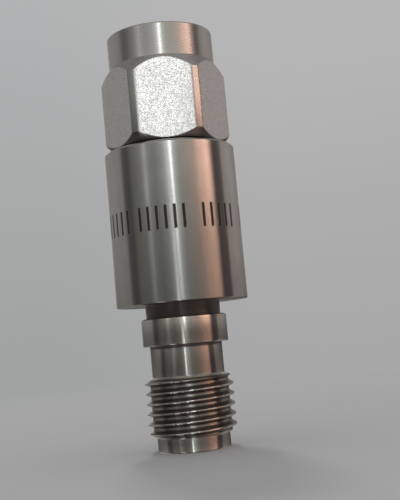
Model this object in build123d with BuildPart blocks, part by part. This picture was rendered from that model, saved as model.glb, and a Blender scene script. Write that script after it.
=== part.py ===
from build123d import *
import os

os.makedirs("parts", exist_ok=True)

# Coaxial fixed attenuator with a threaded jack below and a plug with a hexagon coupling nut above.
# The axis is Z, the jack's end face lies at z = 0 and one flat of the hexagon faces -Y. Lengths are in millimetres.

# Clearances
slip = 0.02  # radial clearance of a piece that slides into a bore
nut_play = 0.05  # radial clearance of what the coupling nut turns on
seat_gap = 0.02  # end clearance between pieces that seat on each other
film_gap = 0.01  # clearance between a contact fork and the printed films

# Insulating beads and contacts, shared by both ends
bead_d = 4.10
bead_split = 5.00  # length of the outer bead behind each reference plane
contact_d = 1.27
collar_step = 0.32  # height of the contact's retaining collar above its rod
collar_length = 0.50
pin_d = 0.92
pin_length = 2.30  # what stands out of the plug's reference plane
pin_tip_length = 0.45
pin_tip_d = 0.36
socket_bore_d = 0.95
socket_bore_depth = 2.80
socket_slot = 0.14
socket_slot_length = 2.20
socket_mouth = 0.08  # chamfer of the socket's mouth
socket_point = 0.30  # drill point at the end of the socket's bore

# Jack end: ferrule recess, plain pilot, thread, shank and flange ring
recess_depth = 1.93  # end face to reference plane
recess_play = 0.015  # radial clearance round a mating ferrule
ferrule_wall = 0.215
pilot_wall = 0.275
pilot_length = 1.00
pilot_edge = 0.08
thread_step = 0.55  # thread crest above the pilot
thread_length = 4.20
thread_lead = 0.25  # chamfer at both ends of the thread
shank_wall = 0.49
shank_length = 2.15
flange_step = 0.475  # flange ring above the shank
flange_length = 1.95
flange_edge = 0.07
neck_wall = 0.58
neck_length = 0.95

# Resistor card and the two half clamps that ground its edges
card_width = 5.00
card_length = 4.20
card_thickness = 0.40
card_margin = 0.35  # clamp beyond each end of the card
card_grip = 0.44  # width of card held by a clamp at each side
film_thickness = 0.03
film_width = 1.20
shunt_width = 0.60
ground_strip_width = 0.55
terminal_width = 1.60
terminal_length = 0.80
fork_overlap = 0.60  # how far a contact fork reaches over the card
clamp_wall = 0.98
clamp_split = 0.02

# Barrel
barrel_wall = 1.19
barrel_length = 11.00
barrel_step = 0.20  # step between the chamber and the smaller bore for the jack's tail
barrel_front_edge = 0.15
barrel_rear_edge = 0.07
jack_tail_length = 2.75
spring_height = 0.30
spring_thickness = 0.14
spring_step = 0.12  # radial room round the disc spring

# Plug end: hub, gasket land and ferrule
hub_length = 2.65
hub_step = 0.02
groove_setback = 1.38  # barrel face to the snap ring's groove
groove_depth = 0.30
groove_width = 0.85
gasket_land_step = 0.25
gasket_length = 0.70
gasket_width = 0.395
gasket_edge = 0.10
ferrule_length = 2.70
ferrule_edge = 0.10

# Snap ring
snap_ring_thickness = 0.50
snap_ring_split = 1.00

# Coupling nut
nut_gap = 0.21  # barrel face to nut
nut_length = 8.25
nut_wall = 0.55  # hexagon flat to the ring groove
corner_height = 0.48  # turned corners above the flats
back_face_step = 0.04  # edge of the back face inside the flats
back_slope = 1.10  # axial length of the back chamfer for each unit of radius
nut_groove_depth = 0.45
nut_groove_play = 0.03
thread_depth = 0.25
relief_step = 0.125
relief_end = 3.80  # back face to the start of the inner thread
collar_wall = 0.715  # plain collar outside the jack's thread size
collar_length_outer = 2.33
collar_edge = 0.10
cone_slope = 1.55  # axial length of the cone for each unit of radius
countersink = 0.35

# Diameters that follow from the sizes above
bead_bore_d = bead_d + 2 * slip
rod_bore_d = contact_d + 2 * slip
collar_d = contact_d + 2 * collar_step
collar_bore_d = collar_d + 2 * slip
ferrule_d = bead_bore_d + 2 * ferrule_wall
recess_d = ferrule_d + 2 * recess_play
pilot_d = recess_d + 2 * pilot_wall
thread_d = pilot_d + 2 * thread_step
shank_d = bead_bore_d + 2 * shank_wall
flange_d = shank_d + 2 * flange_step
neck_d = bead_bore_d + 2 * neck_wall
clamp_d = card_width + 2 * clamp_wall
cavity_d = card_width - 2 * card_grip
chamber_d = clamp_d + 2 * slip
tail_bore_d = chamber_d - 2 * barrel_step
jack_tail_d = tail_bore_d - 2 * slip
plug_tail_d = chamber_d - 2 * slip
barrel_d = chamber_d + 2 * barrel_wall
spring_d = chamber_d - 2 * spring_step
gasket_land_d = ferrule_d + 2 * gasket_land_step
gasket_d = gasket_land_d + 2 * gasket_width
hub_d = gasket_d + 2 * hub_step
groove_d = hub_d - 2 * groove_depth
snap_ring_bore_d = groove_d + 2 * nut_play
nut_bore_d = hub_d + 2 * nut_play
nut_groove_d = nut_bore_d + 2 * nut_groove_depth
snap_ring_d = nut_groove_d - 2 * nut_play
nut_thread_d = thread_d - 2 * thread_depth
relief_d = thread_d + 2 * relief_step
across_flats = nut_groove_d + 2 * nut_wall
corner_d = across_flats + 2 * corner_height
collar_outer_d = thread_d + 2 * collar_wall

# Heights along the axis, from the jack's end face upwards
thread_z0 = pilot_length
thread_z1 = thread_z0 + thread_length
flange_z0 = thread_z1 + shank_length
flange_z1 = flange_z0 + flange_length
barrel_z0 = flange_z1 + neck_length
barrel_z1 = barrel_z0 + barrel_length
jack_tail_z1 = barrel_z0 + jack_tail_length
clamp_length = card_length + 2 * card_margin
clamp_z0 = jack_tail_z1 + seat_gap
clamp_z1 = clamp_z0 + clamp_length
card_z0 = clamp_z0 + card_margin
card_z1 = card_z0 + card_length
spring_z0 = clamp_z1 + seat_gap
spring_z1 = spring_z0 + spring_height
plug_tail_z0 = spring_z1 + seat_gap
hub_z1 = barrel_z1 + hub_length
gasket_z1 = hub_z1 + gasket_length
plug_ref_z = hub_z1 + ferrule_length
jack_split_z = recess_depth + bead_split
plug_split_z = plug_ref_z - bead_split
groove_z0 = barrel_z1 + groove_setback
groove_z1 = groove_z0 + groove_width
snap_ring_z0 = groove_z0 + seat_gap
snap_ring_z1 = snap_ring_z0 + snap_ring_thickness
nut_z0 = barrel_z1 + nut_gap
nut_z1 = nut_z0 + nut_length
nut_groove_z0 = snap_ring_z0 - nut_groove_play
nut_groove_z1 = snap_ring_z1 + nut_groove_play
nut_thread_z0 = nut_z0 + relief_end
cone_z1 = nut_z1 - collar_length_outer
cone_z0 = cone_z1 - cone_slope * (corner_d - collar_outer_d) / 2


def half_section(*points):
    """Face in the XZ plane for a turned piece, from points of radius and height."""
    with BuildSketch(Plane.XZ) as section:
        with BuildLine():
            Polyline(*points, close=True)
        make_face()
    return section.sketch


def bore_section(bore_d, z0, z1):
    """Rectangle from the axis to a bore's wall, as a half section."""
    return half_section((0, z0), (bore_d / 2, z0), (bore_d / 2, z1), (0, z1))


# Jack shell, one turned piece with the pilot, the thread, the flange ring and the tail
with BuildPart() as female_shell:
    revolve(
        half_section(
            (0, 0),
            (pilot_d / 2 - pilot_edge, 0),
            (pilot_d / 2, pilot_edge),
            (pilot_d / 2, thread_z0),
            (thread_d / 2 - thread_lead, thread_z0),
            (thread_d / 2, thread_z0 + thread_lead),
            (thread_d / 2, thread_z1 - thread_lead),
            (thread_d / 2 - thread_lead, thread_z1),
            (shank_d / 2, thread_z1),
            (shank_d / 2, flange_z0),
            (flange_d / 2 - flange_edge, flange_z0),
            (flange_d / 2, flange_z0 + flange_edge),
            (flange_d / 2, flange_z1 - flange_edge),
            (flange_d / 2 - flange_edge, flange_z1),
            (neck_d / 2, flange_z1),
            (neck_d / 2, barrel_z0),
            (jack_tail_d / 2, barrel_z0),
            (jack_tail_d / 2, jack_tail_z1),
            (0, jack_tail_z1),
        ),
        axis=Axis.Z,
    )
    revolve(bore_section(recess_d, 0, recess_depth), axis=Axis.Z, mode=Mode.SUBTRACT)
    revolve(bore_section(bead_bore_d, recess_depth, jack_tail_z1), axis=Axis.Z, mode=Mode.SUBTRACT)

# Outer jack bead, with a pocket behind for the contact's collar
with BuildPart() as female_bead_front:
    revolve(bore_section(bead_d, recess_depth, jack_split_z), axis=Axis.Z)
    revolve(bore_section(rod_bore_d, recess_depth, jack_split_z), axis=Axis.Z, mode=Mode.SUBTRACT)
    revolve(
        bore_section(collar_bore_d, jack_split_z - collar_length - seat_gap, jack_split_z),
        axis=Axis.Z,
        mode=Mode.SUBTRACT,
    )

# Inner jack bead, which closes the pocket and reaches to the end of the shell's tail
with BuildPart() as female_bead_rear:
    revolve(bore_section(bead_d, jack_split_z + seat_gap, jack_tail_z1), axis=Axis.Z)
    revolve(
        bore_section(rod_bore_d, jack_split_z + seat_gap, jack_tail_z1),
        axis=Axis.Z,
        mode=Mode.SUBTRACT,
    )

# Jack contact, a slotted spring socket in front, a collar and a fork that straddles the card
fork_slot = card_thickness + 2 * film_thickness + 2 * film_gap
with BuildPart() as female_socket:
    revolve(
        half_section(
            (0, recess_depth),
            (contact_d / 2, recess_depth),
            (contact_d / 2, jack_split_z - collar_length),
            (collar_d / 2, jack_split_z - collar_length),
            (collar_d / 2, jack_split_z),
            (contact_d / 2, jack_split_z),
            (contact_d / 2, card_z0 + fork_overlap),
            (0, card_z0 + fork_overlap),
        ),
        axis=Axis.Z,
    )
    revolve(
        half_section(
            (0, recess_depth),
            (socket_bore_d / 2 + socket_mouth, recess_depth),
            (socket_bore_d / 2, recess_depth + socket_mouth),
            (socket_bore_d / 2, recess_depth + socket_bore_depth),
            (0, recess_depth + socket_bore_depth + socket_point),
        ),
        axis=Axis.Z,
        mode=Mode.SUBTRACT,
    )
    with BuildSketch(Plane.XY.offset(recess_depth)):
        with Locations(Rotation(0, 0, 45), Rotation(0, 0, 135)):
            Rectangle(contact_d + slip, socket_slot)
    extrude(amount=socket_slot_length, mode=Mode.SUBTRACT)
    with BuildSketch(Plane.XY.offset(card_z0 - seat_gap)):
        Rectangle(contact_d + slip, fork_slot)
    extrude(amount=fork_overlap + 2 * seat_gap, mode=Mode.SUBTRACT)

# Barrel, the outer sleeve that both shells are fixed in
with BuildPart() as barrel:
    revolve(
        half_section(
            (0, barrel_z0),
            (barrel_d / 2 - barrel_rear_edge, barrel_z0),
            (barrel_d / 2, barrel_z0 + barrel_rear_edge),
            (barrel_d / 2, barrel_z1 - barrel_front_edge),
            (barrel_d / 2 - barrel_front_edge, barrel_z1),
            (0, barrel_z1),
        ),
        axis=Axis.Z,
    )
    revolve(bore_section(tail_bore_d, barrel_z0, jack_tail_z1), axis=Axis.Z, mode=Mode.SUBTRACT)
    revolve(bore_section(chamber_d, jack_tail_z1, barrel_z1), axis=Axis.Z, mode=Mode.SUBTRACT)


def ground_clamp(side, films):
    """Half tube on one side of the card (side is 1 or -1), with a pocket for the card and its films."""
    pocket_height = card_thickness / 2 + films * film_thickness + film_gap
    with BuildPart() as clamp:
        with BuildSketch(Plane.XY.offset(clamp_z0)):
            Circle(clamp_d / 2)
            Circle(cavity_d / 2, mode=Mode.SUBTRACT)
            with Locations((0, side * (clamp_split / 2 + clamp_d / 2))):
                Rectangle(clamp_d, clamp_d, mode=Mode.INTERSECT)
        extrude(amount=clamp_length)
        with BuildSketch(Plane.XY.offset(card_z0 - seat_gap)):
            with Locations((0, side * pocket_height / 2)):
                Rectangle(card_width + 2 * slip, pocket_height)
        extrude(amount=card_length + 2 * seat_gap, mode=Mode.SUBTRACT)
    return clamp.part


# Half clamps, gold plated, above and below the card
ground_clamp_upper = ground_clamp(1, 1)
ground_clamp_lower = ground_clamp(-1, 0)

# Card of ceramic, with its printed films on the +Y face
with BuildPart() as card_substrate:
    with BuildSketch(Plane.XY.offset(card_z0)):
        Rectangle(card_width, card_thickness)
    extrude(amount=card_length)

film_y = card_thickness / 2 + film_thickness / 2
card_mid_z = (card_z0 + card_z1) / 2
strip_inner = card_width / 2 - ground_strip_width

# Resistor film, a trunk between the terminals and a shunt arm out to each ground strip
with BuildPart() as resistor_film:
    with BuildSketch(Plane.XY.offset(card_z0 + terminal_length)):
        with Locations((0, film_y)):
            Rectangle(film_width, film_thickness)
    extrude(amount=card_length - 2 * terminal_length)
    with BuildSketch(Plane.XY.offset(card_mid_z - shunt_width / 2)):
        with Locations((0, film_y)):
            Rectangle(2 * strip_inner, film_thickness)
    extrude(amount=shunt_width)


def card_film(x0, x1, z0, z1):
    """Printed metal film on the card between two widths and two heights."""
    with BuildPart() as film:
        with BuildSketch(Plane.XY.offset(z0)):
            with Locations(((x0 + x1) / 2, film_y)):
                Rectangle(x1 - x0, film_thickness)
        extrude(amount=z1 - z0)
    return film.part


# Metal films, a terminal at each end and a ground strip along each side
jack_terminal = card_film(-terminal_width / 2, terminal_width / 2, card_z0, card_z0 + terminal_length)
plug_terminal = card_film(-terminal_width / 2, terminal_width / 2, card_z1 - terminal_length, card_z1)
ground_strip_left = card_film(-card_width / 2, -strip_inner, card_z0, card_z1)
ground_strip_right = card_film(strip_inner, card_width / 2, card_z0, card_z1)

# Disc spring, a shallow cone that keeps the clamps against the jack shell
with BuildPart() as disc_spring:
    revolve(
        half_section(
            (cavity_d / 2, spring_z1 - spring_thickness),
            (spring_d / 2, spring_z0),
            (spring_d / 2, spring_z0 + spring_thickness),
            (cavity_d / 2, spring_z1),
        ),
        axis=Axis.Z,
    )

# Plug shell, with a tail in the barrel, a grooved hub, a gasket land and the ferrule
with BuildPart() as male_shell:
    revolve(
        half_section(
            (0, plug_tail_z0),
            (plug_tail_d / 2, plug_tail_z0),
            (plug_tail_d / 2, barrel_z1),
            (hub_d / 2, barrel_z1),
            (hub_d / 2, groove_z0),
            (groove_d / 2, groove_z0),
            (groove_d / 2, groove_z1),
            (hub_d / 2, groove_z1),
            (hub_d / 2, hub_z1),
            (gasket_land_d / 2, hub_z1),
            (gasket_land_d / 2, gasket_z1),
            (ferrule_d / 2, gasket_z1),
            (ferrule_d / 2, plug_ref_z - ferrule_edge),
            (ferrule_d / 2 - ferrule_edge, plug_ref_z),
            (0, plug_ref_z),
        ),
        axis=Axis.Z,
    )
    revolve(bore_section(bead_bore_d, plug_tail_z0, plug_ref_z), axis=Axis.Z, mode=Mode.SUBTRACT)

# Outer plug bead, with the pocket for the pin's collar on its inner side
with BuildPart() as male_bead_front:
    revolve(bore_section(bead_d, plug_split_z, plug_ref_z), axis=Axis.Z)
    revolve(bore_section(rod_bore_d, plug_split_z, plug_ref_z), axis=Axis.Z, mode=Mode.SUBTRACT)
    revolve(
        bore_section(collar_bore_d, plug_split_z, plug_split_z + collar_length + seat_gap),
        axis=Axis.Z,
        mode=Mode.SUBTRACT,
    )

# Inner plug bead
with BuildPart() as male_bead_rear:
    revolve(bore_section(bead_d, plug_tail_z0, plug_split_z - seat_gap), axis=Axis.Z)
    revolve(
        bore_section(rod_bore_d, plug_tail_z0, plug_split_z - seat_gap),
        axis=Axis.Z,
        mode=Mode.SUBTRACT,
    )

# Plug contact, a fork on the card, a collar and the pointed pin
with BuildPart() as male_pin:
    revolve(
        half_section(
            (0, card_z1 - fork_overlap),
            (contact_d / 2, card_z1 - fork_overlap),
            (contact_d / 2, plug_split_z),
            (collar_d / 2, plug_split_z),
            (collar_d / 2, plug_split_z + collar_length),
            (contact_d / 2, plug_split_z + collar_length),
            (contact_d / 2, plug_ref_z),
            (pin_d / 2, plug_ref_z),
            (pin_d / 2, plug_ref_z + pin_length - pin_tip_length),
            (pin_tip_d / 2, plug_ref_z + pin_length),
            (0, plug_ref_z + pin_length),
        ),
        axis=Axis.Z,
    )
    with BuildSketch(Plane.XY.offset(card_z1 - fork_overlap - seat_gap)):
        Rectangle(contact_d + slip, fork_slot)
    extrude(amount=fork_overlap + 2 * seat_gap, mode=Mode.SUBTRACT)

# Snap ring, split so that it springs into the nut's groove
with BuildPart() as snap_ring:
    with BuildSketch(Plane.XY.offset(snap_ring_z0)):
        Circle(snap_ring_d / 2)
        Circle(snap_ring_bore_d / 2, mode=Mode.SUBTRACT)
        with Locations((snap_ring_d / 2, 0)):
            Rectangle(snap_ring_d, snap_ring_split, mode=Mode.SUBTRACT)
    extrude(amount=snap_ring_thickness)

# Face gasket on the hub's front face
with BuildPart() as face_gasket:
    revolve(
        half_section(
            (gasket_land_d / 2 + slip, hub_z1),
            (gasket_d / 2, hub_z1),
            (gasket_d / 2, gasket_z1 - gasket_edge),
            (gasket_d / 2 - gasket_edge, gasket_z1),
            (gasket_land_d / 2 + slip + gasket_edge, gasket_z1),
            (gasket_land_d / 2 + slip, gasket_z1 - gasket_edge),
        ),
        axis=Axis.Z,
    )

# Coupling nut, a hexagon bar turned to a cone and a plain collar, bored for ring groove, relief and thread
back_face_d = across_flats - 2 * back_face_step
with BuildPart() as coupling_nut:
    with BuildSketch(Plane.XY.offset(nut_z0)):
        RegularPolygon(across_flats / 2, 6, major_radius=False)
    extrude(amount=nut_length)
    revolve(
        half_section(
            (0, nut_z0),
            (back_face_d / 2, nut_z0),
            (corner_d / 2, nut_z0 + back_slope * (corner_d - back_face_d) / 2),
            (corner_d / 2, cone_z0),
            (collar_outer_d / 2, cone_z1),
            (collar_outer_d / 2, nut_z1 - collar_edge),
            (collar_outer_d / 2 - collar_edge, nut_z1),
            (0, nut_z1),
        ),
        axis=Axis.Z,
        mode=Mode.INTERSECT,
    )
    revolve(
        half_section(
            (0, nut_z0),
            (nut_bore_d / 2, nut_z0),
            (nut_bore_d / 2, nut_groove_z0),
            (nut_groove_d / 2, nut_groove_z0),
            (nut_groove_d / 2, nut_groove_z1),
            (relief_d / 2, nut_groove_z1),
            (relief_d / 2, nut_thread_z0),
            (nut_thread_d / 2, nut_thread_z0),
            (nut_thread_d / 2, nut_z1 - countersink),
            (nut_thread_d / 2 + countersink, nut_z1),
            (0, nut_z1),
        ),
        axis=Axis.Z,
        mode=Mode.SUBTRACT,
    )

pieces = {
    "female_shell": female_shell.part,
    "female_bead_front": female_bead_front.part,
    "female_bead_rear": female_bead_rear.part,
    "female_socket": female_socket.part,
    "barrel": barrel.part,
    "ground_clamp_upper": ground_clamp_upper,
    "ground_clamp_lower": ground_clamp_lower,
    "card_substrate": card_substrate.part,
    "resistor_film": resistor_film.part,
    "jack_terminal": jack_terminal,
    "plug_terminal": plug_terminal,
    "ground_strip_left": ground_strip_left,
    "ground_strip_right": ground_strip_right,
    "disc_spring": disc_spring.part,
    "male_shell": male_shell.part,
    "male_bead_front": male_bead_front.part,
    "male_bead_rear": male_bead_rear.part,
    "male_pin": male_pin.part,
    "snap_ring": snap_ring.part,
    "face_gasket": face_gasket.part,
    "coupling_nut": coupling_nut.part,
}
for name, piece in pieces.items():
    piece.label = name
    export_step(piece, f"parts/{name}.step")
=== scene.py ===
import math

import bmesh
import bpy
from mathutils import Euler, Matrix, Quaternion, Vector, noise


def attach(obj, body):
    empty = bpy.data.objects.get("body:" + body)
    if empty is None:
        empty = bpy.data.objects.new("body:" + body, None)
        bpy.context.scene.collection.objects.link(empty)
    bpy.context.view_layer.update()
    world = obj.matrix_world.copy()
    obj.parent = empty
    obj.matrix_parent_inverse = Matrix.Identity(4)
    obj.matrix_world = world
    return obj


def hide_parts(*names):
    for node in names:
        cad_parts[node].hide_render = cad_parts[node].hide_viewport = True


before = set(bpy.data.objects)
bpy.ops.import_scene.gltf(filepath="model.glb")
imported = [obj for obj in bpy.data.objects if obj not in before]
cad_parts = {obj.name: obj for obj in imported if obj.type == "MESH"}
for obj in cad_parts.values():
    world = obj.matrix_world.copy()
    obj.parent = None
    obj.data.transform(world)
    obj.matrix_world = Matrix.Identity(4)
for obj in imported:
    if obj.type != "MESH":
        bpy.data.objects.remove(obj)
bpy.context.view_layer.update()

# Barrel: a plain sleeve turned from stainless bar and ground fine along its side, with a broken edge
# at each end. Both shells are fixed inside it. Groups of plain dark tick bars are burnt into its side
# with a laser.

turns = 288  # columns of faces round a turned piece


def soften(section, edge):
    """A closed half section with each corner cut twice, so that it turns into a broken edge. Millimetres."""
    soft = []
    for i, (r, z) in enumerate(section):
        here = Vector((r, z))
        back = Vector(section[i - 1]) - here
        ahead = Vector(section[(i + 1) % len(section)]) - here
        if r == 0 or back.angle(ahead) > math.radians(170):
            soft.append((r, z))
            continue
        reach = min(edge, 0.4 * back.length, 0.4 * ahead.length)
        first = here + back.normalized() * reach
        last = here + ahead.normalized() * reach
        middle = (first + last + here) / 3
        soft += [tuple(first), tuple(middle), tuple(last)]
    return soft


def turned_mesh(section_at, columns):
    """Sweeps a closed half section round Z.
    section_at(angle) gives its points of (radius, height) in millimetres."""
    mesh = bmesh.new()
    rows = []
    for angle in columns:
        points = section_at(angle)
        rows.append([mesh.verts.new((r * math.sin(angle), -r * math.cos(angle), z)) for r, z in points])
    for left, right in zip(rows, rows[1:]):
        for i in range(len(left)):
            j = (i + 1) % len(left)
            mesh.faces.new((left[i], right[i], right[j], left[j]))
    bmesh.ops.remove_doubles(mesh, verts=mesh.verts, dist=1e-5)
    bmesh.ops.dissolve_degenerate(mesh, edges=mesh.edges, dist=1e-6)
    bmesh.ops.recalc_face_normals(mesh, faces=mesh.faces)
    return mesh


def whole_turn(count):
    """Angles of the columns round one whole turn, from the front."""
    return [2 * math.pi * i / count for i in range(count + 1)]


def put_in_place(name, mesh, finish, body, slot, *nodes):
    """Makes a piece from a mesh in millimetres and puts it in the frame in place of its solids."""
    bmesh.ops.scale(mesh, vec=(0.001, 0.001, 0.001), verts=mesh.verts)
    for face in mesh.faces:
        face.smooth = True
    data = bpy.data.meshes.new(name)
    mesh.to_mesh(data)
    mesh.free()
    data.materials.append(finish)
    piece = bpy.data.objects.new(name, data)
    bpy.context.scene.collection.objects.link(piece)
    weighted = piece.modifiers.new("even_faces", "WEIGHTED_NORMAL")
    weighted.keep_sharp = True
    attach(piece, body)
    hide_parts(*nodes)
    return piece


class Wire:
    """One socket of a finish. Arithmetic on it adds Math nodes."""

    def __init__(self, finish, socket):
        self.finish = finish
        self.socket = socket

    def out(self, name):
        return Wire(self.finish, self.socket.node.outputs[name])

    def __add__(self, other):
        return self.finish.maths("ADD", self, other)

    def __radd__(self, other):
        return self.finish.maths("ADD", other, self)

    def __sub__(self, other):
        return self.finish.maths("SUBTRACT", self, other)

    def __rsub__(self, other):
        return self.finish.maths("SUBTRACT", other, self)

    def __mul__(self, other):
        return self.finish.maths("MULTIPLY", self, other)

    def __rmul__(self, other):
        return self.finish.maths("MULTIPLY", other, self)

    def __truediv__(self, other):
        return self.finish.maths("DIVIDE", self, other)


class Finish:
    """The nodes of one material, or of the world. Each node comes from node()."""

    def __init__(self, data):
        data.use_nodes = True
        self.data = data
        self.tree = data.node_tree
        self.tree.nodes.clear()

    def node(self, kind, settings=(), inputs=(), output=0):
        """Adds a node: its settings first, then the value or link of each socket."""
        made = self.tree.nodes.new(kind)
        for name, value in dict(settings).items():
            if name == "stops":
                while len(made.color_ramp.elements) < len(value):
                    made.color_ramp.elements.new(1.0)
                for element, (position, colour) in zip(made.color_ramp.elements, value):
                    element.position = position
                    element.color = colour
            else:
                setattr(made, name, value)
        for name, value in dict(inputs).items():
            if isinstance(value, Wire):
                self.tree.links.new(value.socket, made.inputs[name])
            else:
                made.inputs[name].default_value = value
        return Wire(self, made.outputs[output]) if made.outputs else None

    def maths(self, operation, first, second=0.0):
        return self.node("ShaderNodeMath", {"operation": operation}, {0: first, 1: second})

    def between(self, value, low, high):
        """0 below low and 1 above high, with a soft ramp between them."""
        soft = {"interpolation_type": "SMOOTHSTEP"}
        return self.node("ShaderNodeMapRange", soft, {0: value, 1: low, 2: high})

    def blend(self, share, first, second):
        """A colour that goes from first to second."""
        return self.node("ShaderNodeMix", {"data_type": "RGBA"}, {0: share, 6: first, 7: second}, 2)

    def millimetres(self):
        """The place on the piece, in millimetres."""
        place = self.node("ShaderNodeTexCoord", output="Object")
        return self.node("ShaderNodeVectorMath", {"operation": "SCALE"}, {0: place, "Scale": 1000.0})

    def grain(self, place, per_mm, detail=2.0, rough=0.5):
        """Even noise between 0 and 1, with per_mm features to the millimetre."""
        inputs = {"Vector": place, "Scale": per_mm, "Detail": detail, "Roughness": rough}
        return self.node("ShaderNodeTexNoise", inputs=inputs)

    def rings(self, place, per_mm):
        """Fine lines round Z, such as a cutting tool leaves."""
        height = self.node("ShaderNodeSeparateXYZ", inputs={0: place}, output="Z")
        inputs = {"W": height, "Scale": per_mm, "Detail": 3.0}
        return self.node("ShaderNodeTexNoise", {"noise_dimensions": "1D"}, inputs)

    def relief(self, height, depth_mm, normal=None):
        """Bump of a height between 0 and 1 that stands depth_mm high."""
        inputs = {"Height": height, "Strength": 1.0, "Distance": depth_mm / 1000}
        if normal is not None:
            inputs["Normal"] = normal
        return self.node("ShaderNodeBump", inputs=inputs)

    def surface(self, settings):
        """Ends a material with its shader."""
        shader = self.node("ShaderNodeBsdfPrincipled", inputs=settings)
        self.node("ShaderNodeOutputMaterial", inputs={"Surface": shader})
        return self.data


burnt_brown = (0.045, 0.030, 0.024, 1)
# colour of painted shade, put where shade falls in recesses and under parts
shade_brown = (0.10, 0.078, 0.072, 1)


def turned_steel(
    name, pale, dark, roughness, lines_per_mm, line_depth, grain_depth, pit_depth, marks=None, shade_mask=None
):
    """Stainless steel off the lathe: fine rings, faint stains and a little grain.
    marks gives a mask from the finish and the place, 1 where it is burnt; the mask given after it is 1 where
    shade is painted in as a matt dark brown."""
    steel = Finish(bpy.data.materials.new(name))
    place = steel.millimetres()
    lines = steel.rings(place, lines_per_mm)
    grain = steel.grain(place, 9.0)
    pits = steel.between(steel.grain(place, 7.0, 1.0), 0.62, 0.74)
    stain = steel.grain(place, 0.55, 4.0, 0.6)
    colour = steel.blend(steel.between(stain * 0.7 + lines * 0.3, 0.3, 0.7), pale, dark)
    rough = roughness + (lines - 0.5) * 0.10 + (stain - 0.5) * 0.10 + (grain - 0.5) * 0.035
    metal = 1.0
    # painted shade: where its mask is 1, the steel is darkened to a matt brown, rougher and less metallic
    if shade_mask:
        shade_share = shade_mask(steel, place)
        colour = steel.blend(shade_share, colour, shade_brown)
        rough = rough + shade_share * 0.18
        metal = 1.0 - steel.between(shade_share, 0.86, 0.92) * 0.6
    if marks:
        burnt = marks(steel, place)
        colour = steel.blend(burnt, colour, burnt_brown)
        rough = rough + burnt * 0.25
        metal = metal * (1.0 - burnt * 0.75)
    ringed = steel.relief(grain, grain_depth, steel.relief(lines, line_depth))
    return steel.surface(
        {
            "Base Color": colour,
            "Metallic": metal,
            "Roughness": rough,
            "Anisotropic": 0.93,
            "Anisotropic Rotation": 0.25,
            "Normal": steel.relief(pits, -pit_depth, ringed),
        }
    )


barrel_radius = 4.69
barrel_bottom = 10.25
barrel_top = 21.25
jack_bore = 3.28  # radius round the jack shell's tail
plug_bore = 3.50  # radius round the plug shell's tail
bore_step = 13.00  # height at which the bores meet
mark_bottom = 15.12
mark_top = 16.76
mark_width = 0.21  # of one bar
mark_step = 7.6  # degrees from bar to bar
mark_blur = 0.03  # of a bar's edge, to either side
mark_groups = [(-75, -44), (-31, 7), (24, 55), (75, 106)]  # degrees round the barrel, from the front
group_end = 2.0  # degrees from a group's outer bar to the group's end


def tick_bars(finish, place):
    """Four groups of upright bars of one height, evenly spaced within a group."""
    x = finish.node("ShaderNodeSeparateXYZ", inputs={0: place}, output="X")
    y, z = x.out("Y"), x.out("Z")
    around = finish.maths("ARCTAN2", x, y * -1.0) * (180 / math.pi)
    upper = finish.between(z, mark_top + mark_blur, mark_top - mark_blur)
    lower = finish.between(z, mark_bottom - mark_blur, mark_bottom + mark_blur)
    bars = 0.0
    for first, last in mark_groups:
        count = round((last - first) / mark_step)
        step = (last - first) / count
        in_step = finish.maths("PINGPONG", around - first, step / 2) * (barrel_radius * math.pi / 180)
        bar = finish.between(in_step, mark_width / 2 + mark_blur, mark_width / 2 - mark_blur)
        begun = finish.between(around, first - group_end, first - group_end + 0.1)
        ended = finish.between(around, last + group_end, last + group_end - 0.1)
        bars = bar * (begun * ended) + bars
    return bars * upper * lower


def lower_face_shade(finish, place):
    """1 on the barrel's lower face, where shade is painted in."""
    z = finish.node("ShaderNodeSeparateXYZ", inputs={0: place}, output="Z")
    return finish.between(z, barrel_bottom + 0.025, barrel_bottom + 0.012) * 0.95


barrel_steel = turned_steel(
    "barrel_ground_steel",
    pale=(0.60, 0.60, 0.575, 1),
    dark=(0.55, 0.545, 0.52, 1),
    roughness=0.19,
    lines_per_mm=24.0,
    line_depth=0.0006,
    grain_depth=0.0007,
    pit_depth=0.0012,
    marks=tick_bars,
    # painted shade on the barrel's lower face, over the neck
    shade_mask=lower_face_shade,
)
barrel_section = soften(
    [
        (jack_bore, barrel_bottom),
        (barrel_radius - 0.035, barrel_bottom),
        (barrel_radius, barrel_bottom + 0.035),
        (barrel_radius, barrel_top - 0.15),
        (barrel_radius - 0.15, barrel_top),
        (plug_bore, barrel_top),
        (plug_bore, bore_step),
        (jack_bore, bore_step),
    ],
    0.03,
)
put_in_place(
    "barrel_sleeve",
    turned_mesh(lambda angle: barrel_section, whole_turn(turns)),
    barrel_steel,
    "attenuator_body",
    "barrel_steel",
    "barrel",
)

# Jack shell: one piece turned from stainless bar, with a tail fixed in the barrel, a neck, a flange ring,
# a shank, a thread of 36 turns to the inch cut with a single point, and a plain pilot. The cutter leaves
# burrs on the thread's crests.

pitch = 25.4 / 36
crest_radius = 3.125
root_radius = crest_radius - 0.36
thread_bottom = 1.00
thread_middle = 3.00  # below it the lead runs down to the pilot, above it to the shank
thread_top = 5.20
thread_lift = -0.01  # of the helix, at the front
burr_height = 0.15
pilot_radius = 2.575
shank_radius = 2.56
shank_top = 7.35
flange_radius = 3.035
flange_edge = 0.07  # of its broken edges
flange_top = 9.30
neck_radius = 2.65
recess_radius = 2.30  # of what takes a mating ferrule
recess_depth = 1.93
shell_bore = 2.07  # radius round the beads
thread_profile = [  # share of the pitch and share of the depth, from one crest to the next
    (0.0, 0.0),
    (0.065, 0.03),
    (0.085, 0.08),
    (0.37, 0.97),
    (0.70, 1.0),
    (0.925, 0.08),
    (0.935, 0.06),
    (1.0, 0.0),
]
thread_stations = [0.0, 0.025, 0.05, 0.065, 0.085, 0.20, 0.30, 0.36, 0.38, 0.50, 0.60, 0.69]
thread_stations += [0.71, 0.82, 0.925, 0.935, 0.97]


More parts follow.
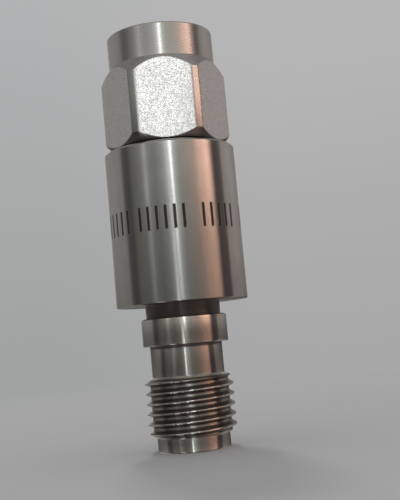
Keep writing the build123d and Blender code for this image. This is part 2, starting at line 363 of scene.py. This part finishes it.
def thread_depth_at(share):
    """How far into the groove a point lies, 0 on the crest and 1 at the root, over one pitch."""
    share %= 1.0
    for (a, low), (b, high) in zip(thread_profile, thread_profile[1:]):
        if share <= b:
            return low + (high - low) * (share - a) / (b - a)
    return 0.0


def thread_rows(angle, bottom, top, radius_at, lift=0.0):
    """Points of a right-hand thread along one side, bottom to top, that follow its helix."""
    rows = []
    first = math.floor(bottom / pitch) - 2
    last = math.ceil(top / pitch) + 1
    for turn in range(first, last):
        for share in thread_stations:
            height = lift + pitch * (turn + share + angle / (2 * math.pi))
            height = min(max(height, bottom), top)
            rows.append((radius_at(angle, height), height))
    return rows


def jack_thread_radius(angle, height):
    """Radius of the jack's thread, with its lead at both ends and the burrs on its crests."""
    turn = (height - thread_lift) / pitch - angle / (2 * math.pi)
    depth = thread_depth_at(turn)
    crest = math.floor(turn + 0.5)
    burr = noise.noise(Vector((5.0 * math.cos(angle), 5.0 * math.sin(angle), 3.7 * crest)))
    burr += 0.6 * noise.noise(Vector((17.0 * math.cos(angle), 17.0 * math.sin(angle), 9.1 * crest)))
    radius = crest_radius - (crest_radius - root_radius) * depth
    radius += max(0.0, 0.2 - depth) * burr_height * burr
    low = pilot_radius + max(0.0, height - thread_bottom) * 1.6
    high = shank_radius + max(0.0, thread_top - height) * 2.0
    return max(min(radius, low, high), shank_radius if height > thread_middle else pilot_radius)


jack_below = soften(
    [
        (recess_radius, recess_depth),
        (recess_radius, 0.0),
        (pilot_radius - 0.08, 0.0),
        (pilot_radius, 0.08),
        (pilot_radius, thread_bottom - 0.02),
    ],
    0.02,
)[1:]
jack_above = soften(
    [
        (shank_radius, thread_top + 0.02),
        (shank_radius, shank_top),
        (flange_radius - flange_edge, shank_top),
        (flange_radius, shank_top + flange_edge),
        (flange_radius, flange_top - flange_edge),
        (flange_radius - flange_edge, flange_top),
        (neck_radius, flange_top),
        (neck_radius, barrel_bottom),
        (jack_bore, barrel_bottom),
        (jack_bore, bore_step),
        (shell_bore, bore_step),
        (shell_bore, recess_depth),
    ],
    0.025,
)


def jack_section(angle):
    """Half section of the jack shell: pilot, thread, then shank, flange, neck and tail."""
    thread = thread_rows(angle, thread_bottom, thread_top, jack_thread_radius, thread_lift)
    return jack_below + thread + jack_above


root_line = 0.535  # share of the pitch at which the root's painted shade leaves a clean line


def groove_and_neck_shade(finish, place):
    """Painted shade, where shade falls: in the neck, under the flange and in the thread's groove."""
    x = finish.node("ShaderNodeSeparateXYZ", inputs={0: place}, output="X")
    y, z = x.out("Y"), x.out("Z")
    radius = finish.maths("SQRT", x * x + y * y)
    above_lead = finish.between(z, thread_bottom + 0.05, thread_bottom + 0.15)
    below_crest = finish.between(radius, crest_radius - 0.025, crest_radius - 0.065)
    flank = below_crest * finish.between(radius, root_radius + 0.005, root_radius + 0.035)
    flank = flank * finish.between(z, thread_top + 0.02, thread_top - 0.03) * above_lead
    around = finish.maths("ARCTAN2", x, y * -1.0) / (2 * math.pi)
    turn = (z - thread_lift) / pitch - around + 50.0  # whole turns keep it above 0
    off_line = finish.maths("ABSOLUTE", finish.maths("FRACT", turn) - root_line)
    root = finish.between(radius, root_radius + 0.045, root_radius + 0.005)
    root = root * finish.between(z, thread_top - 0.1, thread_top - 0.2) * above_lead
    root = root * (finish.between(off_line, 0.05, 0.09) * 0.80 + 0.20)
    neck = finish.between(z, flange_top - 0.06, flange_top + 0.02)
    neck = neck * finish.between(z, barrel_bottom + 0.15, barrel_bottom + 0.05)
    corner = finish.between(z, shank_top - 0.25, shank_top - 0.13)
    corner = corner * finish.between(z, shank_top + 0.05, shank_top + 0.01)
    return neck * 0.95 + flank * 0.85 + root * 0.78 + corner * 0.92


shell_steel = turned_steel(
    "shell_turned_steel",
    pale=(0.64, 0.625, 0.59, 1),
    dark=(0.55, 0.53, 0.49, 1),
    roughness=0.20,
    lines_per_mm=16.0,
    line_depth=0.0007,
    grain_depth=0.0004,
    pit_depth=0.0003,
    # painted shade in the neck, under the flange and in the thread's groove
    shade_mask=groove_and_neck_shade,
)
put_in_place(
    "jack_shell",
    turned_mesh(jack_section, whole_turn(turns)),
    shell_steel,
    "attenuator_body",
    "shell_steel",
    "female_shell",
)

# Coupling nut: hexagon stainless bar with its flats left tumbled, turned down to a cone and a plain collar
# in front, chamfered behind, and threaded inside. It turns freely on a snap ring.

flat_distance = 4.00
corner_radius = 4.48
back_radius = 3.96
nut_bottom = 21.46
nut_top = 29.71
collar_radius = 3.84
cone_top = 27.38
cone_slope = 1.55
back_slope = 1.10
corner_angle = math.acos(flat_distance / corner_radius)
hub_bore = 3.00  # radius round the hub of the plug shell
ring_groove_radius = 3.45
ring_groove = (22.62, 23.18)  # heights of its two sides
relief_radius = 3.25  # behind the thread
mouth_radius = 3.225
minor_radius = 2.875  # on the crests of the inner thread
inner_thread_depth = 0.27
inner_thread_bottom = nut_bottom + 3.80
bore_limit = 3.70  # radius that nothing of the bore passes


def hexagon_radius(angle):
    """Outer radius of the bar at an angle from the front flat's middle, with the corners turned off."""
    turn = (angle + math.pi / 6) % (math.pi / 3) - math.pi / 6
    return min(flat_distance / math.cos(turn), corner_radius)


def nut_columns():
    """Angles round the nut, closer together where a flat ends."""
    steps = [i / 16 for i in range(-16, 17)]
    side = [corner_angle * s for s in steps] + [
        corner_angle + (math.pi / 6 - corner_angle) * s for s in (0.25, 0.5, 0.75, 1.0)
    ]
    side += [corner_angle + (math.pi / 6 - corner_angle) * (2 - s) for s in (0.75, 0.5, 0.25)]
    return sorted(math.pi / 3 * k + a for k in range(6) for a in side) + [2 * math.pi - corner_angle]


def nut_thread_radius(angle, height):
    """Radius of the thread inside the nut."""
    depth = 1.0 - thread_depth_at(height / pitch - angle / (2 * math.pi) + 0.5)
    return min(minor_radius + inner_thread_depth * depth, relief_radius)


def nut_section(angle):
    """Half section of the nut: outside from the back to the front, then down through the bore."""
    side = hexagon_radius(angle)
    outside = [
        (back_radius, nut_bottom),
        (side, nut_bottom + back_slope * (side - back_radius)),
        (side, cone_top - cone_slope * (side - collar_radius)),
        (collar_radius, cone_top),
        (collar_radius, nut_top - 0.10),
        (collar_radius - 0.03, nut_top - 0.03),
        (collar_radius - 0.10, nut_top),
        (mouth_radius, nut_top),
    ]
    thread = thread_rows(angle, inner_thread_bottom, nut_top - 0.35, nut_thread_radius)[::-1]
    inside = [
        (relief_radius, nut_bottom + 3.78),
        (relief_radius, ring_groove[1]),
        (ring_groove_radius, ring_groove[1]),
        (ring_groove_radius, ring_groove[0]),
        (hub_bore, ring_groove[0]),
        (hub_bore, nut_bottom),
    ]
    return outside + thread + inside


nut_mesh = turned_mesh(nut_section, nut_columns())
outer_edges = [
    e
    for e in nut_mesh.edges
    if len(e.link_faces) == 2
    and e.calc_face_angle(0.0) > math.radians(12)
    and min(math.hypot(v.co.x, v.co.y) for v in e.verts) > bore_limit
]
bmesh.ops.bevel(
    nut_mesh, geom=outer_edges, offset=0.035, segments=2, profile=0.5, affect="EDGES", clamp_overlap=True
)


chamfer_shade_line = 22.00  # below it, the chamfer behind the flats is darkened with painted shade


def nut_finish():
    """Turned steel on the collar and cone, and a pitted, tumbled skin on the hexagon's flats."""
    steel = Finish(bpy.data.materials.new("nut_tumbled_steel"))
    place = steel.millimetres()
    x = steel.node("ShaderNodeSeparateXYZ", inputs={0: place}, output="X")
    y, z = x.out("Y"), x.out("Z")
    side = math.pi / 3
    around = steel.maths("ARCTAN2", x, y * -1.0) + 10.5 * side
    turn = steel.maths("MODULO", around, side) - side / 2
    radius = steel.maths("SQRT", x * x + y * y)
    reach = radius * steel.maths("COSINE", turn)
    on_flat = steel.between(reach, flat_distance - 0.03, flat_distance - 0.015) * steel.between(
        steel.maths("ABSOLUTE", turn), corner_angle + 0.004, corner_angle - 0.004
    )
    dots = steel.node("ShaderNodeTexVoronoi", {"feature": "F1"}, {"Vector": place, "Scale": 14.0}, "Distance")
    coarse = steel.grain(place, 3.0, 2.0)
    lines = steel.rings(place, 20.0)
    grain = steel.grain(place, 9.0)
    stain = steel.grain(place, 0.6, 4.0, 0.6)
    pit_depth = steel.between(dots, 0.55, 0.25) * steel.between(coarse, 0.05, 0.50)
    colour = steel.blend(stain, (0.62, 0.62, 0.60, 1), (0.56, 0.555, 0.53, 1))
    colour = steel.blend(on_flat, colour, (0.83, 0.83, 0.815, 1))
    colour = steel.blend(on_flat * pit_depth * 0.60, colour, (0.28, 0.28, 0.27, 1))
    # painted shade: the chamfer behind the flats is darkened below the line, standing in for its shade and
    # dark reflection
    chamfer_shade = steel.between(z, chamfer_shade_line + 0.10, chamfer_shade_line) * (1.0 - on_flat)
    colour = steel.blend(chamfer_shade * 0.75, colour, (0.16, 0.14, 0.125, 1))
    rough = 0.26 + (lines - 0.5) * 0.10 + (stain - 0.5) * 0.08 + on_flat * (0.050 + (coarse - 0.5) * 0.08)
    turned = steel.relief(lines, 0.0006, steel.relief(grain, 0.0012))
    pitted = steel.relief(pit_depth * on_flat, -0.0018, turned)
    return steel.surface(
        {
            "Base Color": colour,
            "Metallic": 1.0,
            "Roughness": rough,
            "Anisotropic": 0.85,
            "Anisotropic Rotation": 0.25,
            "Normal": pitted,
        }
    )


nut_steel = nut_finish()
put_in_place("hexagon_nut", nut_mesh, nut_steel, "nut", "nut_steel", "coupling_nut")

# Plug shell: turned from stainless bar, with the hub that the nut turns on, the land for the gasket
# and the ferrule that enters the mating jack.

tail_bottom = 18.29
hub_radius = 2.95
hub_groove_radius = 2.65
hub_groove = (22.63, 23.48)  # heights of its two sides
hub_top = 23.90
land_radius = 2.535
land_top = 24.60
ferrule_radius = 2.285
ferrule_top = 26.60
plug_section = soften(
    [
        (shell_bore, tail_bottom),
        (plug_bore - 0.02, tail_bottom),
        (plug_bore - 0.02, barrel_top),
        (hub_radius, barrel_top),
        (hub_radius, hub_groove[0]),
        (hub_groove_radius, hub_groove[0]),
        (hub_groove_radius, hub_groove[1]),
        (hub_radius, hub_groove[1]),
        (hub_radius, hub_top),
        (land_radius, hub_top),
        (land_radius, land_top),
        (ferrule_radius, land_top),
        (ferrule_radius, ferrule_top - 0.10),
        (ferrule_radius - 0.10, ferrule_top),
        (shell_bore, ferrule_top),
    ],
    0.02,
)
put_in_place(
    "plug_shell",
    turned_mesh(lambda angle: plug_section, whole_turn(192)),
    shell_steel,
    "attenuator_body",
    "shell_steel",
    "male_shell",
)

# Contacts: turned beryllium copper, plated with gold. The socket is slotted into four springs, and both are
# forked at the inner end to straddle the card. Their solids are already right, so they keep them.


def plated(name, pale, dark):
    """Gold plate over turned metal, a little worn and uneven."""
    gold = Finish(bpy.data.materials.new(name))
    place = gold.millimetres()
    lines = gold.rings(place, 22.0)
    cloud = gold.grain(place, 2.2, 3.0)
    return gold.surface(
        {
            "Base Color": gold.blend(cloud, pale, dark),
            "Metallic": 1.0,
            "Roughness": 0.20 + lines * 0.12,
            "Normal": gold.relief(lines, 0.0008),
        }
    )


contact_gold = plated("contact_gold_plate", (0.95, 0.70, 0.32, 1), (0.83, 0.58, 0.24, 1))


def dress(finish, *names):
    """Gives solids that stay their material."""
    for name in names:
        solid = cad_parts[name]
        solid.data.materials.clear()
        solid.data.materials.append(finish)


dress(contact_gold, "female_socket", "male_pin", "ground_clamp_upper", "ground_clamp_lower")

# Beads: white fluoropolymer, turned from rod, two in each shell. They are pushed in from the ends and hold
# the contacts on the axis.

bead = Finish(bpy.data.materials.new("bead_fluoropolymer"))
place = bead.millimetres()
cloud = bead.grain(place, 1.6, 3.0)
scuff = bead.grain(place, 14.0, 2.0)
bead_white = bead.surface(
    {
        "Base Color": bead.blend(cloud, (0.86, 0.85, 0.81, 1), (0.80, 0.785, 0.74, 1)),
        "Roughness": 0.42 + scuff * 0.2,
        "Normal": bead.relief(scuff, 0.002),
        "Subsurface Weight": 0.15,
        "Subsurface Radius": (0.4, 0.35, 0.3),
        "Subsurface Scale": 0.0008,
    }
)
dress(bead_white, "female_bead_front", "female_bead_rear", "male_bead_front", "male_bead_rear")

# Snap ring and disc spring: hard copper alloy, stamped and left bright. The ring sits half in the plug
# shell's groove and half in the nut's. The disc keeps the clamps pressed against the jack shell.

spring = Finish(bpy.data.materials.new("spring_stamped_alloy"))
place = spring.millimetres()
cloud = spring.grain(place, 1.8, 3.0)
scuff = spring.grain(place, 11.0, 2.0)
spring_metal = spring.surface(
    {
        "Base Color": spring.blend(cloud, (0.78, 0.58, 0.34, 1), (0.66, 0.47, 0.27, 1)),
        "Metallic": 1.0,
        "Roughness": 0.28 + scuff * 0.15,
        "Normal": spring.relief(scuff, 0.001),
    }
)
dress(spring_metal, "snap_ring", "disc_spring")

# Gasket: a moulded ring of red silicone rubber, slipped over the plug shell's land. It seals the joint
# when the nut is tight.

rubber = Finish(bpy.data.materials.new("gasket_silicone"))
place = rubber.millimetres()
cloud = rubber.grain(place, 2.0, 3.0)
skin = rubber.grain(place, 16.0, 2.0)
gasket_red = rubber.surface(
    {
        "Base Color": rubber.blend(cloud, (0.42, 0.075, 0.045, 1), (0.33, 0.055, 0.035, 1)),
        "Roughness": 0.55 + skin * 0.2,
        "Normal": rubber.relief(skin, 0.003),
    }
)
gasket_bore = land_radius + 0.02
gasket_radius = 2.93
gasket_section = soften(
    [
        (gasket_bore, hub_top),
        (gasket_radius, hub_top),
        (gasket_radius, land_top),
        (gasket_bore, land_top),
    ],
    0.12,
)
put_in_place(
    "gasket_ring",
    turned_mesh(lambda angle: gasket_section, whole_turn(160)),
    gasket_red,
    "attenuator_body",
    "gasket_red",
    "face_gasket",
)

# Card: a chip of white ceramic with a printed black resistor and fired silver films. The half clamps hold
# it by its long edges, and the contacts' forks straddle its ends.

ceramic = Finish(bpy.data.materials.new("card_fired_ceramic"))
place = ceramic.millimetres()
cloud = ceramic.grain(place, 3.0, 3.0)
skin = ceramic.grain(place, 20.0, 2.0)
card_ceramic = ceramic.surface(
    {
        "Base Color": ceramic.blend(cloud, (0.86, 0.84, 0.79, 1), (0.79, 0.77, 0.71, 1)),
        "Roughness": 0.45 + skin * 0.15,
        "Normal": ceramic.relief(skin, 0.001),
    }
)
dress(card_ceramic, "card_substrate")

ink = Finish(bpy.data.materials.new("resistor_ink"))
place = ink.millimetres()
cloud = ink.grain(place, 6.0, 3.0)
resistor_ink = ink.surface(
    {
        "Base Color": ink.blend(cloud, (0.022, 0.022, 0.026, 1), (0.040, 0.038, 0.042, 1)),
        "Roughness": 0.50 + cloud * 0.15,
        "Normal": ink.relief(cloud, 0.001),
    }
)
dress(resistor_ink, "resistor_film")

silver = Finish(bpy.data.materials.new("fired_silver"))
place = silver.millimetres()
cloud = silver.grain(place, 7.0, 3.0)
film_silver = silver.surface(
    {
        "Base Color": silver.blend(cloud, (0.80, 0.79, 0.76, 1), (0.70, 0.69, 0.65, 1)),
        "Metallic": 1.0,
        "Roughness": 0.38 + cloud * 0.15,
        "Normal": silver.relief(cloud, 0.001),
    }
)
dress(film_silver, "jack_terminal", "plug_terminal", "ground_strip_left", "ground_strip_right")

# Stage: a plain pale floor and backdrop, and a soft world with the pale, warm and dark fields that the metal
# shows. A narrow lamp stands in front, and one behind casts the shadow forward.

floor_reach = 1.5  # metres from the middle to each side
floor_mesh = bmesh.new()
bmesh.ops.create_grid(floor_mesh, x_segments=8, y_segments=8, size=floor_reach)
floor_data = bpy.data.meshes.new("floor")
floor_mesh.to_mesh(floor_data)
floor_mesh.free()
floor = bpy.data.objects.new("floor", floor_data)
bpy.context.scene.collection.objects.link(floor)
fade_start = 25.0  # millimetres from the middle, where the floor begins to melt into the backdrop
fade_end = 130.0
ground = Finish(bpy.data.materials.new("floor_matt"))
place = ground.millimetres()
speck = ground.grain(place, 0.3, 3.0)
x = ground.node("ShaderNodeSeparateXYZ", inputs={0: place}, output="X")
away = ground.maths("SQRT", x * x + x.out("Y") * x.out("Y"))
floor_matt = ground.surface(
    {
        "Base Color": ground.blend(speck, (0.575, 0.571, 0.575, 1), (0.595, 0.591, 0.595, 1)),
        "Roughness": 0.9,
        "Specular IOR Level": 0.1,
        "Alpha": ground.between(away, fade_end, fade_start),
    }
)
floor_data.materials.append(floor_matt)
floor.visible_glossy = False


def azimuth_stop(degrees, red, green, blue):
    """A stop of the world's ramp, at an angle from the front, positive to the right."""
    return ((degrees + 180) / 360, (red, green, blue, 1))


world = bpy.data.worlds.new("studio")
bpy.context.scene.world = world
sky = Finish(world)
direction = sky.node("ShaderNodeTexCoord", output="Generated")
x = sky.node("ShaderNodeSeparateXYZ", inputs={0: direction}, output="X")
y, z = x.out("Y"), x.out("Z")
azimuth = sky.maths("ARCTAN2", x, y * -1.0) / (2 * math.pi) + 0.5
fields = sky.node(
    "ShaderNodeValToRGB",
    {
        "stops": [
            azimuth_stop(-180, 0.48, 0.47, 0.455),
            azimuth_stop(-172, 0.55, 0.54, 0.525),
            azimuth_stop(-165, 0.32, 0.31, 0.30),
            azimuth_stop(-150, 0.20, 0.195, 0.19),
            azimuth_stop(-126, 0.235, 0.229, 0.224),
            azimuth_stop(-98, 0.213, 0.205, 0.20),
            azimuth_stop(-92, 0.075, 0.07, 0.07),
            azimuth_stop(-80, 0.060, 0.058, 0.055),
            azimuth_stop(-72, 0.122, 0.122, 0.110),
            azimuth_stop(-52, 0.120, 0.120, 0.110),
            azimuth_stop(-47.5, 0.200, 0.200, 0.193),
            azimuth_stop(-44.5, 0.205, 0.205, 0.198),
            azimuth_stop(-40, 0.113, 0.113, 0.106),
            azimuth_stop(-28, 0.094, 0.096, 0.089),
            azimuth_stop(-14, 0.148, 0.152, 0.142),
            azimuth_stop(-3.7, 0.28, 0.287, 0.275),
            azimuth_stop(-1.7, 0.30, 0.31, 0.305),
            azimuth_stop(3.3, 0.30, 0.31, 0.305),
            azimuth_stop(6, 0.245, 0.252, 0.24),
            azimuth_stop(14, 0.152, 0.149, 0.140),
            azimuth_stop(26, 0.165, 0.146, 0.130),
            azimuth_stop(40, 0.205, 0.158, 0.133),
            azimuth_stop(59, 0.375, 0.236, 0.183),
            azimuth_stop(72.5, 0.54, 0.338, 0.262),
            azimuth_stop(77.5, 0.20, 0.13, 0.11),
            azimuth_stop(80, 0.075, 0.056, 0.056),
            azimuth_stop(97, 0.07, 0.06, 0.06),
            azimuth_stop(102, 0.28, 0.243, 0.226),
            azimuth_stop(126, 0.305, 0.270, 0.258),
            azimuth_stop(152, 0.19, 0.178, 0.172),
            azimuth_stop(164, 0.20, 0.19, 0.185),
            azimuth_stop(173, 0.34, 0.33, 0.32),
        ]
    },
    {0: azimuth + sky.between(azimuth, 0.60, 0.65) * sky.between(z, 0.24, 0.33) * 0.015},
)
# What metal shows is the ramp round the horizon, made brighter or darker by height. z is the sine of the
# height, and azimuth goes from 0 to 1 round the part, 0.5 in front.
overhead = sky.blend(sky.between(z, 0.40, 0.58), fields, (0.18, 0.17, 0.165, 1))
# Above the horizon: brighter in front, for the hexagon's cone and chamfer, than at the sides.
facing = sky.between(azimuth, 0.288, 0.388) * sky.between(azimuth, 0.735, 0.705)
side_lift = sky.between(z, -0.06, 0.14) * 1.04
front_lift = sky.between(z, 0.02, 0.20) * 1.04 + sky.between(z, 0.18, 0.27) * 5.1
front_lift = front_lift - sky.between(z, 0.28, 0.36) * 3.3
from_above = side_lift + facing * (front_lift - side_lift)
# Below it: light that the floor throws up on the undersides.
from_floor = sky.between(z, -0.16, -0.34) * 1.1 - sky.between(z, -0.62, -0.74) * 0.9
from_floor = from_floor - sky.between(z, -0.86, -0.92) * 0.35
# Narrow extras: a glint from low left for the thread, the pale strip left of the middle, and warm light
# from the right for the nut.
glint = sky.between(azimuth, 0.350, 0.358) * sky.between(azimuth, 0.384, 0.376)
glint = glint * sky.between(z, -0.92, -0.86) * sky.between(z, -0.62, -0.68) * 16.0
strip = sky.between(azimuth, 0.478, 0.482) * sky.between(azimuth, 0.490, 0.486)
strip = strip * (sky.between(z, 0.08, -0.02) * 4.0 + sky.between(z, -0.06, -0.14) * 4.0)
copper = sky.between(azimuth, 0.61, 0.65) * sky.between(azimuth, 0.71, 0.69)
nut_copper = copper * sky.between(z, 0.22, 0.26) * sky.between(z, 0.325, 0.295) * 3.8
barrel_copper = sky.between(z, 0.08, 0.16) * sky.between(z, 0.25, 0.22) * 0.70
barrel_copper = copper * (barrel_copper - sky.between(z, 0.12, 0.04) * 0.10)
plain_lift = 0.36
low_lift = sky.between(z, 0.04, -0.04) * 0.18 - sky.between(z, -0.05, -0.12) * 0.10
low_right = sky.between(azimuth, 0.59, 0.65) * sky.between(z, 0.05, -0.02)
low_right = low_right * sky.between(z, -0.30, -0.20) * 0.30
lift = from_above * (1.0 - sky.between(z, 0.80, 0.97) * 0.6) + from_floor + glint + strip
lift = lift + nut_copper - barrel_copper + low_lift + plain_lift - low_right * plain_lift
seen_in_metal = sky.node("ShaderNodeVectorMath", {"operation": "SCALE"}, {0: overhead, "Scale": lift})
light_path = sky.node("ShaderNodeLightPath", output="Is Camera Ray")
left_back = sky.blend(sky.between(z, -0.1, 0.55), (0.355, 0.363, 0.364, 1), (0.462, 0.465, 0.472, 1))
right_back = sky.blend(sky.between(z, -0.1, 0.40), (0.390, 0.385, 0.387, 1), (0.470, 0.470, 0.470, 1))
backdrop = sky.blend(sky.between(x, -0.15, 0.15), left_back, right_back)
soft_light = sky.blend(light_path.out("Is Glossy Ray"), (0.50, 0.497, 0.495, 1), seen_in_metal)
background = sky.node("ShaderNodeBackground", inputs={0: sky.blend(light_path, soft_light, backdrop), 1: 1.0})
sky.node("ShaderNodeOutputWorld", inputs={"Surface": background})


def lamp(name, azimuth, height, watts, wide, tall, lean=0.0):
    """A soft rectangular lamp half a metre from the part, at an azimuth and a height in degrees."""
    data = bpy.data.lights.new(name, "AREA")
    data.shape = "RECTANGLE"
    data.size = wide
    data.size_y = tall
    data.energy = watts
    made = bpy.data.objects.new(name, data)
    bpy.context.scene.collection.objects.link(made)
    turn = math.radians(azimuth)
    rise = math.radians(height)
    toward = Vector((math.sin(turn) * math.cos(rise), -math.cos(turn) * math.cos(rise), math.sin(rise)))
    made.location = Vector((0, 0, 0.016)) + toward * 0.5
    leaning = Quaternion((0, 0, 1), math.radians(lean))
    made.rotation_euler = (toward.to_track_quat("Z", "Y") @ leaning).to_euler()
    return made


lamp("front_lamp", 0.6, 22.0, 0.069, 0.022, 0.12, 8.0)
back_lamp = lamp("back_lamp", -174.0, 58.0, 0.40, 0.07, 0.07)
back_lamp.visible_glossy = False

# The camera's place and turn come from the fit to the photo.
camera_data = bpy.data.cameras.new("camera")
camera_data.lens = 64.8
camera_data.sensor_width = 36.0
camera_data.clip_start = 0.002
camera_data.clip_end = 20.0
camera = bpy.data.objects.new("camera", camera_data)
bpy.context.scene.collection.objects.link(camera)
camera.location = (-0.00119337, -0.06433372, 0.00769580)
camera.rotation_euler = Euler((math.radians(95.572), math.radians(5.175), math.radians(-1.991)), "XYZ")
bpy.context.scene.camera = camera

bpy.context.scene.view_settings.view_transform = "Standard"
